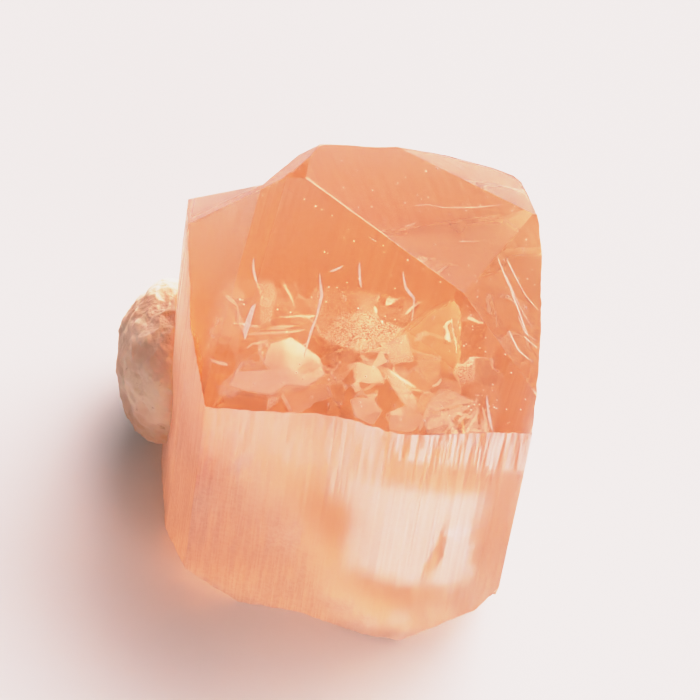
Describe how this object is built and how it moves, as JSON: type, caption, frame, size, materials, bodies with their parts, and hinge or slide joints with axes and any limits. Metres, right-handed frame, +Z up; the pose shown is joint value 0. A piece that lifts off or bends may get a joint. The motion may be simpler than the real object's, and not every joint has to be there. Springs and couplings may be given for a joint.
{
  "type": "rough topaz crystal specimen",
  "caption": "Stubby see-through orange topaz crystal with sloping end faces, broken flat at its root, and a small knob of pale matrix on its back corner.",
  "frame": {"origin": "middle of the specimen's bounding box, at the height of the flat break that it stands on", "axes": "+Z up, within 10 degrees of the crystal's long axis; -Y towards the large front face and the striated prism face below it; the matrix knob is at -X, +Y"},
  "size_m": [0.0223, 0.0202, 0.022],
  "materials": {
    "topaz": "see-through orange, glassy, with fine striations on the prism faces",
    "pale_matrix": "matt, pale tan, stained brown by iron on its underside"
  },
  "bodies": {
    "root": {"topaz_crystal": "topaz", "matrix_knob": "pale_matrix"}
  },
  "joints": []
}
